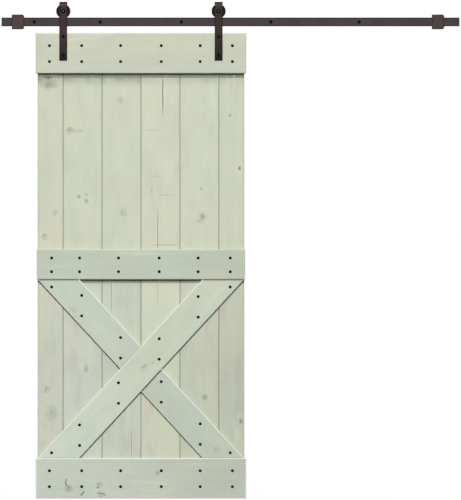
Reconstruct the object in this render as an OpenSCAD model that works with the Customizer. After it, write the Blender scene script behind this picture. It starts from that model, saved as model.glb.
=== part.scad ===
// Sliding barn door with its track: a ledged and braced board door that hangs by two
// bent strap hangers from grooved wheels, which roll along a flat bar held off the wall.
// Millimetres. X runs along the track, Y runs from the room to the wall, Z is up.
// The origin is on the wall, at the height of the track's middle, half way between the
// first and the last wall screw.

/* [Door] */
// Width of the door, which is the length of its top and bottom rails
door_w = 965; // [920:1:1100]
// Height of the door
door_h = 2134; // [1980:1:2300]
// Width over the six boards
boards_w = 948; // [880:1:1000]
// Face width of each of the four inner boards
board_face = 178.5; // [150:0.5:195]
// Thickness of the boards
board_t = 19; // [16:0.5:24]
// Thickness of the rails and braces
rail_t = 19; // [14:0.5:24]
// Height of the top rail
top_rail_h = 185; // [150:1:220]
// Height of the middle rail
middle_rail_h = 138; // [110:1:170]
// Length of the middle rail
middle_rail_l = 955; // [920:1:1100]
// From the top of the door down to the middle rail
middle_rail_drop = 992; // [900:1:1080]
// Height of the bottom rail
bottom_rail_h = 185; // [150:1:220]
// Width of the diagonal braces
brace_w = 140; // [100:1:160]
// How far the corners of the braces stay inside the edges of the boards
brace_setback = 1; // [0.5:0.5:10]
// Radius of the eased front edges of rails and braces
edge_r = 5; // [1:0.5:6]
// Width and depth of the bevel along each board joint
joint_bevel = 3; // [1:0.5:5]
// Thickness of the tongue on a board's edge
tongue_t = 6; // [4:0.5:7]
// Length of the tongue on a board's edge
tongue_l = 7; // [5:0.5:9]
// Gap between wooden pieces that meet
wood_gap = 0.4; // [0.2:0.1:1]

/* [Wood screws] */
// Diameter of a wood screw's head
screw_head_d = 14; // [9:0.5:16]
// Height of a wood screw's head
screw_head_h = 2; // [1.5:0.1:3]
// Diameter of a wood screw's shank
screw_d = 4.2; // [3:0.1:5]
// Length of a wood screw under its head
screw_l = 32; // [28:0.5:33]
// How far outside the middle of its board a screw sits
screw_shift = 4; // [0:0.5:10]
// How far the outer screws of the middle rail and the braces sit nearer the door's middle
outer_screw_inset = 10; // [0:0.5:20]
// How far the inner screws of the middle rail and the long brace sit to the left
inner_screw_shift = 9.5; // [0:0.5:20]
// Distance between the two rows of screws in the top and bottom rails
wide_row_gap = 73; // [50:1:100]
// Distance between the two rows of screws in the middle rail
narrow_row_gap = 63; // [40:1:80]
// How far the two rows of screws sit below the middle of their rail
row_drop = 2; // [0:0.5:8]
// Upright distance between the two screws that hold a brace to one board
brace_pair_gap = 94; // [60:1:110]
// How far the screws of the half braces, and the one in each pointed end, sit low
brace_screw_drop = 5; // [0:0.5:10]

/* [Track] */
// Length of the track bar
track_l = 2100; // [1900:1:2400]
// Height of the track bar
track_h = 40; // [34:0.5:46]
// Thickness of the track bar
track_t = 6; // [5:0.5:8]
// Bevel along the edges of the steel bars
bar_bevel = 1; // [0.5:0.1:1.5]
// Wall screws, each by its distance from the left end of the track
wall_screw_at = [150, 453, 825, 1235, 1640]; // [60:1:1900]
// Length of the spacers that hold the track off the wall
spacer_l = 35; // [32:0.5:50]
// Diameter of the spacers
spacer_d = 25; // [20:0.5:32]
// Diameter of a wall screw's shank
wall_screw_d = 8; // [6:0.5:10]
// Length of thread in the wall, without the point
wall_thread_l = 45; // [30:1:70]
// Diameter of a wall screw's head
wall_head_d = 16; // [14:0.5:20]
// Height of a wall screw's head
wall_head_h = 5; // [3:0.1:6]

/* [Stops] */
// Width of an end stop
stop_w = 56; // [40:1:80]
// Height of an end stop
stop_h = 67; // [58:1:76]
// Wall of an end stop in front of the track and behind it
stop_wall = 7; // [5:0.5:8]
// Cut of the two right-hand corners of an end stop
stop_corner = 6; // [2:0.5:10]
// From the left end of the track to the left stop
left_stop_at = 47.5; // [20:0.5:80]
// From the right stop to the right end of the track
right_stop_at = 70; // [20:0.5:120]
// Diameter of a stop's set screws
set_screw_d = 6; // [4:0.5:8]
// Distance between the two set screws of a stop
set_screw_gap = 28; // [14:1:34]

/* [Hangers] */
// From the left end of the track to the middle of the door, where it stands at rest
door_at = 639.5; // [600:0.5:900]
// Gap between the track and the top of the door
under_track = 31; // [20:0.5:50]
// Distance between the two hangers
hanger_gap = 712.5; // [600:0.5:800]
// Width of a hanger strap
strap_w = 36; // [30:0.5:44]
// Thickness of a hanger strap
strap_t = 6; // [4:0.5:8]
// How far a strap reaches down the door
strap_drop = 125; // [115:1:160]
// Upper strap bolt, from the top of the door
upper_bolt_drop = 16.5; // [14:0.5:25]
// Lower strap bolt, from the top of the door
lower_bolt_drop = 102; // [70:0.5:104]
// Diameter of the strap bolts
strap_bolt_d = 8; // [6:0.5:10]
// Diameter of a strap bolt's head
strap_head_d = 16; // [14:0.5:20]
// Height of a strap bolt's head
strap_head_h = 4.5; // [3:0.1:6]
// Diameter of the axle bolts
axle_d = 10; // [8:0.5:11]
// Diameter of an axle bolt's head
axle_head_d = 22; // [18:0.5:26]
// Height of an axle bolt's head
axle_head_h = 5; // [3:0.1:6]

/* [Wheels] */
// Diameter over a wheel's flanges
wheel_d = 65; // [62:0.5:72]
// Diameter at the bottom of a wheel's groove
groove_d = 58; // [54:0.5:60]
// Width of a wheel
wheel_w = 19; // [17:0.5:22]
// Gap between the groove's foot and each side of the track
groove_side = 0.7; // [0.4:0.1:1.2]
// How much wider the groove is at its mouth, on each side
groove_flare = 1; // [0.5:0.1:1.5]
// Gap between a wheel and the strap beside it
wheel_side_gap = 4.5; // [3.5:0.1:7]
// Gap between a wheel's flange and the strap over it
wheel_top_gap = 1.8; // [1:0.1:4]
// Outside diameter of a wheel's ball bearing
bearing_d = 30; // [28:0.5:32]
// Width of a wheel's ball bearing
bearing_w = 9; // [8:0.5:11]
// Diameter of a bearing ball
ball_d = 4.8; // [4:0.1:5]
// Number of balls in a bearing
ball_count = 8; // [6:1:9]

/* [Hidden] */
$fn = 64;

// Clearances
running_gap = 0.25;  // between a wheel and the top of the track
bolt_gap = 0.2;      // round a bolt or screw in its hole
fit_gap = 0.05;      // round pieces that are pushed or screwed together
ball_gap = 0.05;     // between a ball and its races
pocket_gap = 0.12;   // between a ball and its cage
slide_gap = 0.2;     // between a stop and the track
past = 1;            // how far a cutter runs past the face that it opens

// Places across the depth, from the wall to the room
track_back_y = -spacer_l;
track_front_y = track_back_y - track_t;
track_middle_y = (track_back_y + track_front_y) / 2;
bend_r = wheel_w / 2 + wheel_side_gap;
strap_back_y = track_middle_y - bend_r;
strap_front_y = strap_back_y - strap_t;
rear_leg_y = track_middle_y + bend_r + strap_t;
rail_front_y = strap_back_y;
board_front_y = rail_front_y + rail_t;
board_back_y = board_front_y + board_t;
tongue_y = (board_front_y + board_back_y) / 2;

// Heights
track_top_z = track_h / 2;
axle_z = track_top_z + running_gap + groove_d / 2;
bend_rise = wheel_d / 2 + wheel_top_gap - sqrt(pow(bend_r, 2) - pow(wheel_w / 2, 2));
bend_z = axle_z + bend_rise;
door_top_z = -track_h / 2 - under_track;
door_bottom_z = door_top_z - door_h;
strap_bottom_z = door_top_z - strap_drop;
top_rail_z = door_top_z - top_rail_h;
middle_rail_z = door_top_z - middle_rail_drop - middle_rail_h;
bottom_rail_top_z = door_bottom_z + bottom_rail_h;
strap_bolt_z = [door_top_z - upper_bolt_drop, door_top_z - lower_bolt_drop];

// Places along the track
track_left_x = -(wall_screw_at[0] + wall_screw_at[len(wall_screw_at) - 1]) / 2;
track_right_x = track_left_x + track_l;
door_x = track_left_x + door_at;
left_hanger_x = door_x - hanger_gap / 2;
right_hanger_x = door_x + hanger_gap / 2;

// Boards, counted from the left
board_count = 6;
outer_face = (boards_w - (board_count - 2) * board_face) / 2;
board_edge = 1.5;  // bevel of the door's two outer edges
function seam_x(k) =
    k == 0 ? -boards_w / 2
    : k == board_count ? boards_w / 2
    : -boards_w / 2 + outer_face + (k - 1) * board_face;
function board_middle(k) = (seam_x(k) + seam_x(k + 1)) / 2;
function screw_column(k) = board_middle(k) + sign(board_middle(k)) * screw_shift;

// The window between the middle and bottom rails, which the braces cross
brace_low_z = bottom_rail_top_z + wood_gap;
brace_high_z = middle_rail_z - wood_gap;
brace_rise = brace_high_z - brace_low_z;
brace_z = (brace_high_z + brace_low_z) / 2;
brace_span = boards_w - 2 * brace_setback;
brace_angle = atan2(brace_rise, brace_span) + asin(brace_w / norm([brace_span, brace_rise]));

// Screws of one rail, as points in the face of the door, measured from its middle line
function rail_screws(middle_z, row_gap, inset = 0, shift = 0) = [
    for (k = [0 : board_count - 1], row = [-1, 1])
        let (column = screw_column(k), outer = k == 0 || k == board_count - 1)
        let (x = column - (outer ? sign(column) * inset : shift))
        [x, middle_z - row_drop + row * row_gap / 2]
];
top_screws = rail_screws(top_rail_z + top_rail_h / 2, wide_row_gap);
middle_screws = rail_screws(
    middle_rail_z + middle_rail_h / 2, narrow_row_gap, outer_screw_inset, inner_screw_shift);
bottom_screws = rail_screws(door_bottom_z + bottom_rail_h / 2, wide_row_gap);

// Screws of one brace on the boards named: two on its middle line, or one in its pointed end
function brace_points(lean, boards, shift, drop) = [
    for (k = boards)
        let (x = screw_column(k), line = lean * x * tan(brace_angle))
        let (room = abs(line) + brace_pair_gap / 2 + screw_head_d < brace_rise / 2)
        let (corner = sign(line) * (abs(line) - brace_w / 2 / cos(brace_angle) + brace_rise / 2) / 2)
        let (pair_x = x - shift, pair_z = lean * pair_x * tan(brace_angle) - drop)
        let (pair = [for (side = [-1, 1]) [pair_x, pair_z + side * brace_pair_gap / 2]])
        let (single = [[x - sign(x) * outer_screw_inset, corner - brace_screw_drop]])
        for (p = room ? pair : single)
            [p.x, brace_z + p.y]
];
long_boards = [for (k = [0 : board_count - 1]) k];
upper_boards = [for (k = [0 : board_count / 2 - 1]) k];
lower_boards = [for (k = [board_count / 2 : board_count - 1]) k];
long_brace_screws = brace_points(1, long_boards, inner_screw_shift, 0);
upper_brace_screws = brace_points(-1, upper_boards, 0, brace_screw_drop);
lower_brace_screws = brace_points(-1, lower_boards, 0, brace_screw_drop);
all_brace_screws = concat(long_brace_screws, upper_brace_screws, lower_brace_screws);
all_screws = concat(top_screws, middle_screws, bottom_screws, all_brace_screws);

// Fasteners and bearing sizes that follow from the sizes above
wall_thread_d = 0.9 * wall_screw_d;  // mean diameter of the thread
socket_share = 0.4;   // a head's hexagon socket, as a share of the head's diameter
head_rim = 0.8;       // straight rim under a domed head
washer_d = 2.6 * strap_bolt_d;
washer_t = 1.6;
nut_share = 1.7;      // across flats, as a share of the bolt's diameter
nut_h_share = 0.8;
bolt_end = 1.5;       // how far a bolt stands out of its nut
bush_d = axle_d + 4;
ring_wall = 3;        // wall of a bearing ring between bore and shoulder
pitch_r = (bearing_d / 2 + axle_d / 2) / 2;
wheel_lip_r = bearing_d / 2 - 2;
retainer_t = 1.1;
retainer_depth = 0.8; // how deep the retaining ring sits in the wheel

// A child drawn upwards along Z faces the room, at this point of the wall's frame
module facing_room(x, y, z) {
    translate([x, y, z]) rotate([90, 0, 0]) children();
}

// Domed head on the plane Z = 0, with a hexagon socket
module domed_head(d, h) {
    dome_r = (pow(d / 2, 2) + pow(h - head_rim, 2)) / (2 * (h - head_rim));
    difference() {
        rotate_extrude() intersection() {
            translate([0, h - dome_r]) circle(dome_r);
            square([d / 2, h]);
        }
        translate([0, 0, h * 0.45]) cylinder(d = d * socket_share, h = h, $fn = 6);
    }
}

module hexagon_nut(bolt_d) {
    difference() {
        cylinder(d = nut_share * bolt_d / cos(30), h = nut_h_share * bolt_d, $fn = 6);
        translate([0, 0, -past])
            cylinder(d = bolt_d + 2 * fit_gap, h = nut_h_share * bolt_d + 2 * past);
    }
}

module tube(outer_d, inner_d, h) {
    difference() {
        cylinder(d = outer_d, h = h);
        translate([0, 0, -past]) cylinder(d = inner_d, h = h + 2 * past);
    }
}

// Section of a plank across its width, with its two front edges eased; its back is on Y = 0
module plank_section(w, t) {
    arc = [for (a = [0 : 30 : 90]) [w / 2 - edge_r * (1 - cos(a)), -t + edge_r * (1 - sin(a))]];
    mirrored = [for (k = [len(arc) - 1 : -1 : 0]) [-arc[k].x, arc[k].y]];
    polygon(concat([[w / 2, 0]], arc, mirrored, [[-w / 2, 0]]));
}

// Plank of a length along X and a height along Z, with all four front edges eased
module rail_plank(l, h, low_z) {
    translate([door_x, board_front_y, low_z]) intersection() {
        linear_extrude(h) plank_section(l, rail_t);
        translate([-l / 2, 0, h / 2]) rotate([90, 0, 90]) rotate([0, 0, -90])
            linear_extrude(l) plank_section(h, rail_t);
    }
}

// Clearance holes for wood screws, through a plank on the front of the boards
module screw_holes(points) {
    for (p = points)
        facing_room(door_x + p.x, board_front_y + past, p.y)
            cylinder(d = screw_d + 2 * bolt_gap, h = rail_t + 2 * past);
}

// Holes for the strap bolts, through the whole door
module strap_bolt_holes() {
    for (x = [left_hanger_x, right_hanger_x], z = strap_bolt_z)
        facing_room(x, board_back_y + past, z)
            cylinder(d = strap_bolt_d + 2 * bolt_gap, h = rail_t + board_t + 2 * past);
}

module track() {
    section = [for (s = [[1, 1], [-1, 1], [-1, -1], [1, -1]], inner = [0, 1])
        let (along = (s.x * s.y > 0) == (inner == 0))
        [s.x * (track_t / 2 - (along ? 0 : bar_bevel)), s.y * (track_h / 2 - (along ? bar_bevel : 0))]];
    color("#4b4242") difference() {
        translate([track_left_x, track_middle_y, 0]) rotate([90, 0, 90])
            linear_extrude(track_l) polygon(section);
        for (at = wall_screw_at)
            facing_room(track_left_x + at, track_back_y + past, 0)
                cylinder(d = wall_screw_d + 2 * bolt_gap, h = track_t + 2 * past);
    }
}

module spacer(k) {
    color("#4b4242") facing_room(track_left_x + wall_screw_at[k], 0, 0)
        tube(spacer_d, wall_screw_d + 2 * bolt_gap, spacer_l);
}

module wall_screws() {
    color("#141213") for (at = wall_screw_at) facing_room(track_left_x + at, track_front_y, 0) {
        domed_head(wall_head_d, wall_head_h);
        translate([0, 0, -track_t - spacer_l]) cylinder(d = wall_screw_d, h = track_t + spacer_l);
        translate([0, 0, -track_t - spacer_l - wall_thread_l])
            cylinder(d = wall_thread_d, h = wall_thread_l);
        translate([0, 0, -track_t - spacer_l - wall_thread_l - wall_thread_d])
            cylinder(d1 = 0, d2 = wall_thread_d, h = wall_thread_d);
    }
}

set_screw_l = (stop_h - track_h) / 2;
function set_screw_x(edge_x) = [for (s = [-1, 1]) edge_x + stop_w / 2 + s * set_screw_gap / 2];

// Block that is threaded onto the track, with its two right-hand corners cut
module end_stop(edge_x) {
    outline = [
        [0, -stop_h / 2], [stop_w - stop_corner, -stop_h / 2], [stop_w, -stop_h / 2 + stop_corner],
        [stop_w, stop_h / 2 - stop_corner], [stop_w - stop_corner, stop_h / 2], [0, stop_h / 2]
    ];
    depth = track_t + 2 * stop_wall;
    color("#514446") difference() {
        facing_room(edge_x, track_middle_y + depth / 2, 0) linear_extrude(depth) polygon(outline);
        translate([edge_x - past, track_front_y - slide_gap, -track_h / 2 - slide_gap])
            cube([stop_w + 2 * past, track_t + 2 * slide_gap, track_h + 2 * slide_gap]);
        for (x = set_screw_x(edge_x)) translate([x, track_middle_y, -stop_h / 2 - past])
            cylinder(d = set_screw_d + 2 * fit_gap, h = set_screw_l + past);
    }
}

module set_screws(edge_x) {
    color("#141213") for (x = set_screw_x(edge_x)) translate([x, track_middle_y, -stop_h / 2])
        difference() {
            cylinder(d = set_screw_d, h = set_screw_l);
            translate([0, 0, -past]) cylinder(d = set_screw_d / 2, h = set_screw_d / 2 + past, $fn = 6);
        }
}

left_stop_x = track_left_x + left_stop_at;
right_stop_x = track_right_x - right_stop_at - stop_w;

// Board's left edge from front to back: plain on the first board, grooved on the others
function left_edge(k) =
    let (x = seam_x(k) + (k == 0 ? 0 : wood_gap / 2), b = k == 0 ? board_edge : joint_bevel)
    let (slot = tongue_t / 2 + wood_gap / 2, deep = x + tongue_l + wood_gap)
    concat(
        [[x + b, board_front_y], [x, board_front_y + b]],
        k == 0 ? [] : [
            [x, tongue_y - slot], [deep, tongue_y - slot], [deep, tongue_y + slot], [x, tongue_y + slot]
        ],
        [[x, board_back_y - b], [x + b, board_back_y]]
    );
// Board's right edge from back to front: plain on the last board, tongued on the others
function right_edge(k) =
    let (last = k == board_count - 1)
    let (x = seam_x(k + 1) - (last ? 0 : wood_gap / 2), b = last ? board_edge : joint_bevel)
    let (half = tongue_t / 2, far = x + tongue_l)
    concat(
        [[x - b, board_back_y], [x, board_back_y - b]],
        last ? [] : [
            [x, tongue_y + half], [far, tongue_y + half], [far, tongue_y - half], [x, tongue_y - half]
        ],
        [[x, board_front_y + b], [x - b, board_front_y]]
    );

module board(k) {
    mine = [for (p = all_screws) if (p.x > seam_x(k) && p.x < seam_x(k + 1)) p];
    hole_l = screw_l - rail_t + past;
    color("#cdd2bc") difference() {
        translate([door_x, 0, door_bottom_z]) linear_extrude(door_h)
            polygon(concat(left_edge(k), right_edge(k)));
        for (p = mine) facing_room(door_x + p.x, board_front_y + hole_l, p.y)
            cylinder(d = screw_d + 2 * bolt_gap, h = hole_l + past);
        strap_bolt_holes();
    }
}

module top_rail() {
    color("#ccd2bc") difference() {
        rail_plank(door_w, top_rail_h, top_rail_z);
        screw_holes(top_screws);
        strap_bolt_holes();
    }
}

module middle_rail() {
    color("#c0c8b4") difference() {
        rail_plank(middle_rail_l, middle_rail_h, middle_rail_z);
        screw_holes(middle_screws);
    }
}

module bottom_rail() {
    color("#bfc7b8") difference() {
        rail_plank(door_w, bottom_rail_h, door_bottom_z);
        screw_holes(bottom_screws);
    }
}

// Endless plank through the middle of the brace window, rising to the right or to the left
module brace_plank(lean, w = brace_w) {
    l = 2 * norm([boards_w, brace_rise]);
    translate([door_x, board_front_y, brace_z]) rotate([0, -lean * brace_angle, 0])
        translate([-l / 2, 0, 0]) rotate([90, 0, 90]) rotate([0, 0, -90])
            linear_extrude(l) plank_section(w, rail_t);
}

// The brace window, or its half to the left or right of the middle
module brace_window(from_x = -boards_w / 2, to_x = boards_w / 2) {
    translate([door_x + from_x, rail_front_y - past, brace_low_z])
        cube([to_x - from_x, rail_t + 2 * past, brace_rise]);
}

module long_brace() {
    color("#c6cdb8") difference() {
        intersection() {
            brace_plank(1);
            brace_window();
        }
        screw_holes(long_brace_screws);
    }
}

// Half of the brace that the long one cuts in two
module short_brace(from_x, to_x, points) {
    l = 2 * norm([boards_w, brace_rise]);
    color("#c0cab8") difference() {
        intersection() {
            brace_plank(-1);
            brace_window(from_x, to_x);
        }
        translate([door_x, board_front_y, brace_z]) rotate([0, -brace_angle, 0])
            cube([l, 4 * rail_t, brace_w + 2 * wood_gap], center = true);
        screw_holes(points);
    }
}

module wood_screws(points) {
    tip = screw_d;
    color("#141213") for (p = points) facing_room(door_x + p.x, rail_front_y, p.y) {
        domed_head(screw_head_d, screw_head_h);
        translate([0, 0, tip - screw_l]) cylinder(d = screw_d, h = screw_l - tip);
        translate([0, 0, -screw_l]) cylinder(d1 = 0, d2 = screw_d, h = tip);
    }
}

// Bar section with bevelled corners: across the strap along X, and through it from Y = 0 to its thickness
module strap_section() {
    w = strap_w / 2;
    b = bar_bevel;
    polygon([
        [-w, b], [-w + b, 0], [w - b, 0], [w, b],
        [w, strap_t - b], [w - b, strap_t], [-w + b, strap_t], [-w, strap_t - b]
    ]);
}

// Flat bar bent over the wheel: a long leg down the door, and a short one behind the wheel
module strap(x) {
    rear_leg_l = bend_rise + strap_w / 2;
    corner = strap_w / 4;
    hole_d = axle_d + 2 * bolt_gap;
    color("#4a3e3f") difference() {
        union() {
            translate([x, strap_front_y, strap_bottom_z])
                linear_extrude(bend_z - strap_bottom_z) strap_section();
            translate([x, track_middle_y, bend_z]) rotate([0, 90, 0]) rotate([0, 0, 90])
                rotate_extrude(angle = 180)
                    translate([bend_r, 0]) rotate(90) mirror([0, 1]) strap_section();
            translate([x, rear_leg_y - strap_t, bend_z - rear_leg_l])
                linear_extrude(rear_leg_l) strap_section();
        }
        for (s = [-1, 1]) translate([x + s * strap_w / 2, rear_leg_y, bend_z - rear_leg_l])
            rotate([0, 45, 0]) cube([sqrt(2) * corner, 3 * strap_t, sqrt(2) * corner], center = true);
        facing_room(x, rear_leg_y + past, axle_z)
            cylinder(d = hole_d, h = rear_leg_y - strap_front_y + 2 * past);
        for (z = strap_bolt_z) facing_room(x, strap_back_y + past, z)
            cylinder(d = strap_bolt_d + 2 * bolt_gap, h = strap_t + 2 * past);
    }
}

module strap_bolts(x) {
    end_y = board_back_y + washer_t + nut_h_share * strap_bolt_d + bolt_end;
    color("#141213") for (z = strap_bolt_z) facing_room(x, strap_front_y, z) {
        domed_head(strap_head_d, strap_head_h);
        translate([0, 0, strap_front_y - end_y]) cylinder(d = strap_bolt_d, h = end_y - strap_front_y);
    }
}

module strap_washers(x) {
    color("#4b4242") for (z = strap_bolt_z) facing_room(x, board_back_y + washer_t, z)
        tube(washer_d, strap_bolt_d + 2 * bolt_gap, washer_t);
}

module strap_nuts(x) {
    color("#2a2526") for (z = strap_bolt_z)
        facing_room(x, board_back_y + washer_t + nut_h_share * strap_bolt_d, z) hexagon_nut(strap_bolt_d);
}

// One half of a wheel's outline, from its hub's face out to the middle of its groove
function wheel_half() =
    let (r = wheel_d / 2, w = wheel_w / 2, dish = 2, rim = 0.8)
    let (hub_r = bearing_d / 2 + 3, dish_r = groove_d / 2 - 3, foot = track_t / 2 + groove_side)
    [
        [hub_r, w], [hub_r + dish / 2, w - dish], [dish_r - dish / 2, w - dish], [dish_r, w],
        [r - rim, w], [r, w - rim], [r, foot + groove_flare], [groove_d / 2, foot]
    ];
function back_to_front(points) = [for (k = [len(points) - 1 : -1 : 0]) [points[k].x, -points[k].y]];

// Grooved wheel: the bearing seats on a lip at the front, and a ring holds it at the back
module wheel(x) {
    seat_r = bearing_d / 2 + fit_gap;
    ring_a = bearing_w / 2 + fit_gap;
    ring_b = ring_a + retainer_t + 2 * fit_gap;
    back_bore = [
        [wheel_lip_r, -wheel_w / 2], [wheel_lip_r, -bearing_w / 2 - fit_gap],
        [seat_r, -bearing_w / 2 - fit_gap], [seat_r, ring_a], [seat_r + retainer_depth, ring_a],
        [seat_r + retainer_depth, ring_b], [seat_r, ring_b], [seat_r, wheel_w / 2]
    ];
    color("#2b2526") translate([x, track_middle_y, axle_z]) rotate([-90, 0, 0]) rotate_extrude()
        polygon(concat(back_bore, wheel_half(), back_to_front(wheel_half())));
}

// Bearing ring between two radii, with a race for the balls
module bearing_ring(x, inner_r, outer_r) {
    color("#b9babd") translate([x, track_middle_y, axle_z]) rotate([90, 0, 0])
        rotate_extrude() difference() {
            translate([inner_r, -bearing_w / 2]) square([outer_r - inner_r, bearing_w]);
            translate([pitch_r, 0]) circle(d = ball_d + 2 * ball_gap);
        }
}

module bearing_outer_ring(x) {
    bearing_ring(x, bearing_d / 2 - ring_wall, bearing_d / 2);
}

module bearing_inner_ring(x) {
    bearing_ring(x, axle_d / 2 + fit_gap, axle_d / 2 + ring_wall);
}

// Puts its child at each ball of the bearing on this hanger
module at_balls(x) {
    for (k = [0 : ball_count - 1]) translate([x, track_middle_y, axle_z])
        rotate([0, k * 360 / ball_count, 0]) translate([pitch_r, 0, 0]) children();
}

module bearing_balls(x) {
    color("#d5d6d8") at_balls(x) sphere(d = ball_d, $fn = 24);
}

module bearing_cage(x) {
    wall = 1.2;
    width = ball_d + 1.2;
    color("#9a9b9e") difference() {
        facing_room(x, track_middle_y + width / 2, axle_z)
            tube(2 * pitch_r + wall, 2 * pitch_r - wall, width);
        at_balls(x) rotate([0, 90, 0]) cylinder(d = ball_d + 2 * pocket_gap, h = 4 * wall, center = true);
    }
}

// Open spring ring in the wheel's groove, behind the bearing
module retaining_ring(x) {
    outer_r = bearing_d / 2 + retainer_depth;
    color("#2a2526") facing_room(x, track_middle_y + bearing_w / 2 + 2 * fit_gap + retainer_t, axle_z)
        difference() {
            tube(2 * outer_r, 2 * outer_r - 5, retainer_t);
            translate([-outer_r / 4, 0, -past]) cube([outer_r / 2, 2 * outer_r, retainer_t + 2 * past]);
        }
}

module axle_bolt(x) {
    end_y = rear_leg_y + nut_h_share * axle_d + bolt_end;
    color("#2a2324") facing_room(x, strap_front_y, axle_z) {
        domed_head(axle_head_d, axle_head_h);
        translate([0, 0, strap_front_y - end_y]) cylinder(d = axle_d, h = end_y - strap_front_y);
    }
}

module axle_nut(x) {
    color("#2a2526") facing_room(x, rear_leg_y + nut_h_share * axle_d, axle_z) hexagon_nut(axle_d);
}

// Bushes on the axle, from the bearing's inner ring out to each leg of the strap
module axle_bushes(x) {
    l = bend_r - bearing_w / 2;
    color("#8b8b8e") for (back_y = [track_middle_y - bearing_w / 2, track_middle_y + bend_r])
        facing_room(x, back_y, axle_z) tube(bush_d, axle_d + 2 * bolt_gap, l);
}

track();
spacer(0);  // spacer_1
spacer(1);  // spacer_2
spacer(2);  // spacer_3
spacer(3);  // spacer_4
spacer(4);  // spacer_5
wall_screws();
end_stop(left_stop_x);  // left_stop
set_screws(left_stop_x);  // left_stop_set_screws
end_stop(right_stop_x);  // right_stop
set_screws(right_stop_x);  // right_stop_set_screws
board(0);  // board_1
board(1);  // board_2
board(2);  // board_3
board(3);  // board_4
board(4);  // board_5
board(5);  // board_6
top_rail();
middle_rail();
bottom_rail();
long_brace();
short_brace(-boards_w / 2, 0, upper_brace_screws);  // upper_brace
short_brace(0, boards_w / 2, lower_brace_screws);  // lower_brace
wood_screws(top_screws);  // top_rail_screws
wood_screws(middle_screws);  // middle_rail_screws
wood_screws(bottom_screws);  // bottom_rail_screws
wood_screws(all_brace_screws);  // brace_screws
strap(left_hanger_x);  // left_strap
wheel(left_hanger_x);  // left_wheel
bearing_outer_ring(left_hanger_x);  // left_bearing_outer_ring
bearing_inner_ring(left_hanger_x);  // left_bearing_inner_ring
bearing_balls(left_hanger_x);  // left_bearing_balls
bearing_cage(left_hanger_x);  // left_bearing_cage
retaining_ring(left_hanger_x);  // left_retaining_ring
axle_bolt(left_hanger_x);  // left_axle_bolt
axle_nut(left_hanger_x);  // left_axle_nut
axle_bushes(left_hanger_x);  // left_axle_bushes
strap_bolts(left_hanger_x);  // left_strap_bolts
strap_washers(left_hanger_x);  // left_strap_washers
strap_nuts(left_hanger_x);  // left_strap_nuts
strap(right_hanger_x);  // right_strap
wheel(right_hanger_x);  // right_wheel
bearing_outer_ring(right_hanger_x);  // right_bearing_outer_ring
bearing_inner_ring(right_hanger_x);  // right_bearing_inner_ring
bearing_balls(right_hanger_x);  // right_bearing_balls
bearing_cage(right_hanger_x);  // right_bearing_cage
retaining_ring(right_hanger_x);  // right_retaining_ring
axle_bolt(right_hanger_x);  // right_axle_bolt
axle_nut(right_hanger_x);  // right_axle_nut
axle_bushes(right_hanger_x);  // right_axle_bushes
strap_bolts(right_hanger_x);  // right_strap_bolts
strap_washers(right_hanger_x);  // right_strap_washers
strap_nuts(right_hanger_x);  // right_strap_nuts
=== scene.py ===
import math

import bmesh
import bpy
import numpy as np
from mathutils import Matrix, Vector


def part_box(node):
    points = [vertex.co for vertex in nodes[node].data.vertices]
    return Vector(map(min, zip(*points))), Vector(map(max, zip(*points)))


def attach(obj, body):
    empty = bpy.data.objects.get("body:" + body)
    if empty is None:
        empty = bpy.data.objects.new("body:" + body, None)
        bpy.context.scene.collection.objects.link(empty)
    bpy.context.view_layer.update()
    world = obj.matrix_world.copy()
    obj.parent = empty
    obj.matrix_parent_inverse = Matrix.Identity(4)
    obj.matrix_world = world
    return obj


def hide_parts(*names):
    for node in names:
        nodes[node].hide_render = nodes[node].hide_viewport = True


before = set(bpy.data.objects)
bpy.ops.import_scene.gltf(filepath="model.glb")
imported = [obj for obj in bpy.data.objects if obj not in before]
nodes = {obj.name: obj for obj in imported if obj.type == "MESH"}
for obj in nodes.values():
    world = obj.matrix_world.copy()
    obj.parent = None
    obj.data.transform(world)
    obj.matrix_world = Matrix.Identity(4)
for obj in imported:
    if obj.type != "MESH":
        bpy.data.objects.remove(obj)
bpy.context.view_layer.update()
mm = 0.001
sides = ("left", "right")
print("frame loaded with", len(nodes), "nodes")

railLow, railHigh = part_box("top_rail")
doorMiddle = (railLow.x + railHigh.x) / 2  # marks in the wood are measured from here
doorTop = railHigh.z
boardFront = railHigh.y  # rails and braces stand on this plane
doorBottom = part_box("bottom_rail")[0].z


def linear(red, green, blue):
    # screen colour 0 to 255 to the linear colour that a shader takes
    part = np.array([red, green, blue]) / 255.0
    low, high = part / 12.92, ((part + 0.055) / 1.055) ** 2.4
    return (*np.where(part <= 0.04045, low, high).tolist(), 1.0)


# shader building: a value is linked where it is a socket and set where it is a number or a colour; id_data is
# the tree that holds a node or a socket
def setInputs(node, values):
    for name, value in values.items():
        if isinstance(value, bpy.types.NodeSocket):
            node.id_data.links.new(value, node.inputs[name])
        else:
            node.inputs[name].default_value = value
    return node


def put(kind, values, **settings):
    # a new node in the tree of the first socket among its values
    tree = next(value.id_data for value in values.values() if isinstance(value, bpy.types.NodeSocket))
    node = tree.nodes.new(kind)
    for name, value in settings.items():
        setattr(node, name, value)
    return setInputs(node, values)


def calc(operation, *values):
    return put("ShaderNodeMath", dict(enumerate(values)), operation=operation).outputs[0]


def times(first, second):
    return calc("MULTIPLY", first, second)


def scaled(value, factor, start):
    return calc("MULTIPLY_ADD", value, factor, start)


def minus(first, second):
    return calc("SUBTRACT", first, second)


def squares(first, second):
    # first^2 + second^2
    return scaled(first, first, times(second, second))


def bell(offset, sharp):
    # exp(-sharp * offset^2): 1 where the offset is nought, falling off to both sides
    return calc("EXPONENT", times(times(offset, offset), -sharp))


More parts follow.
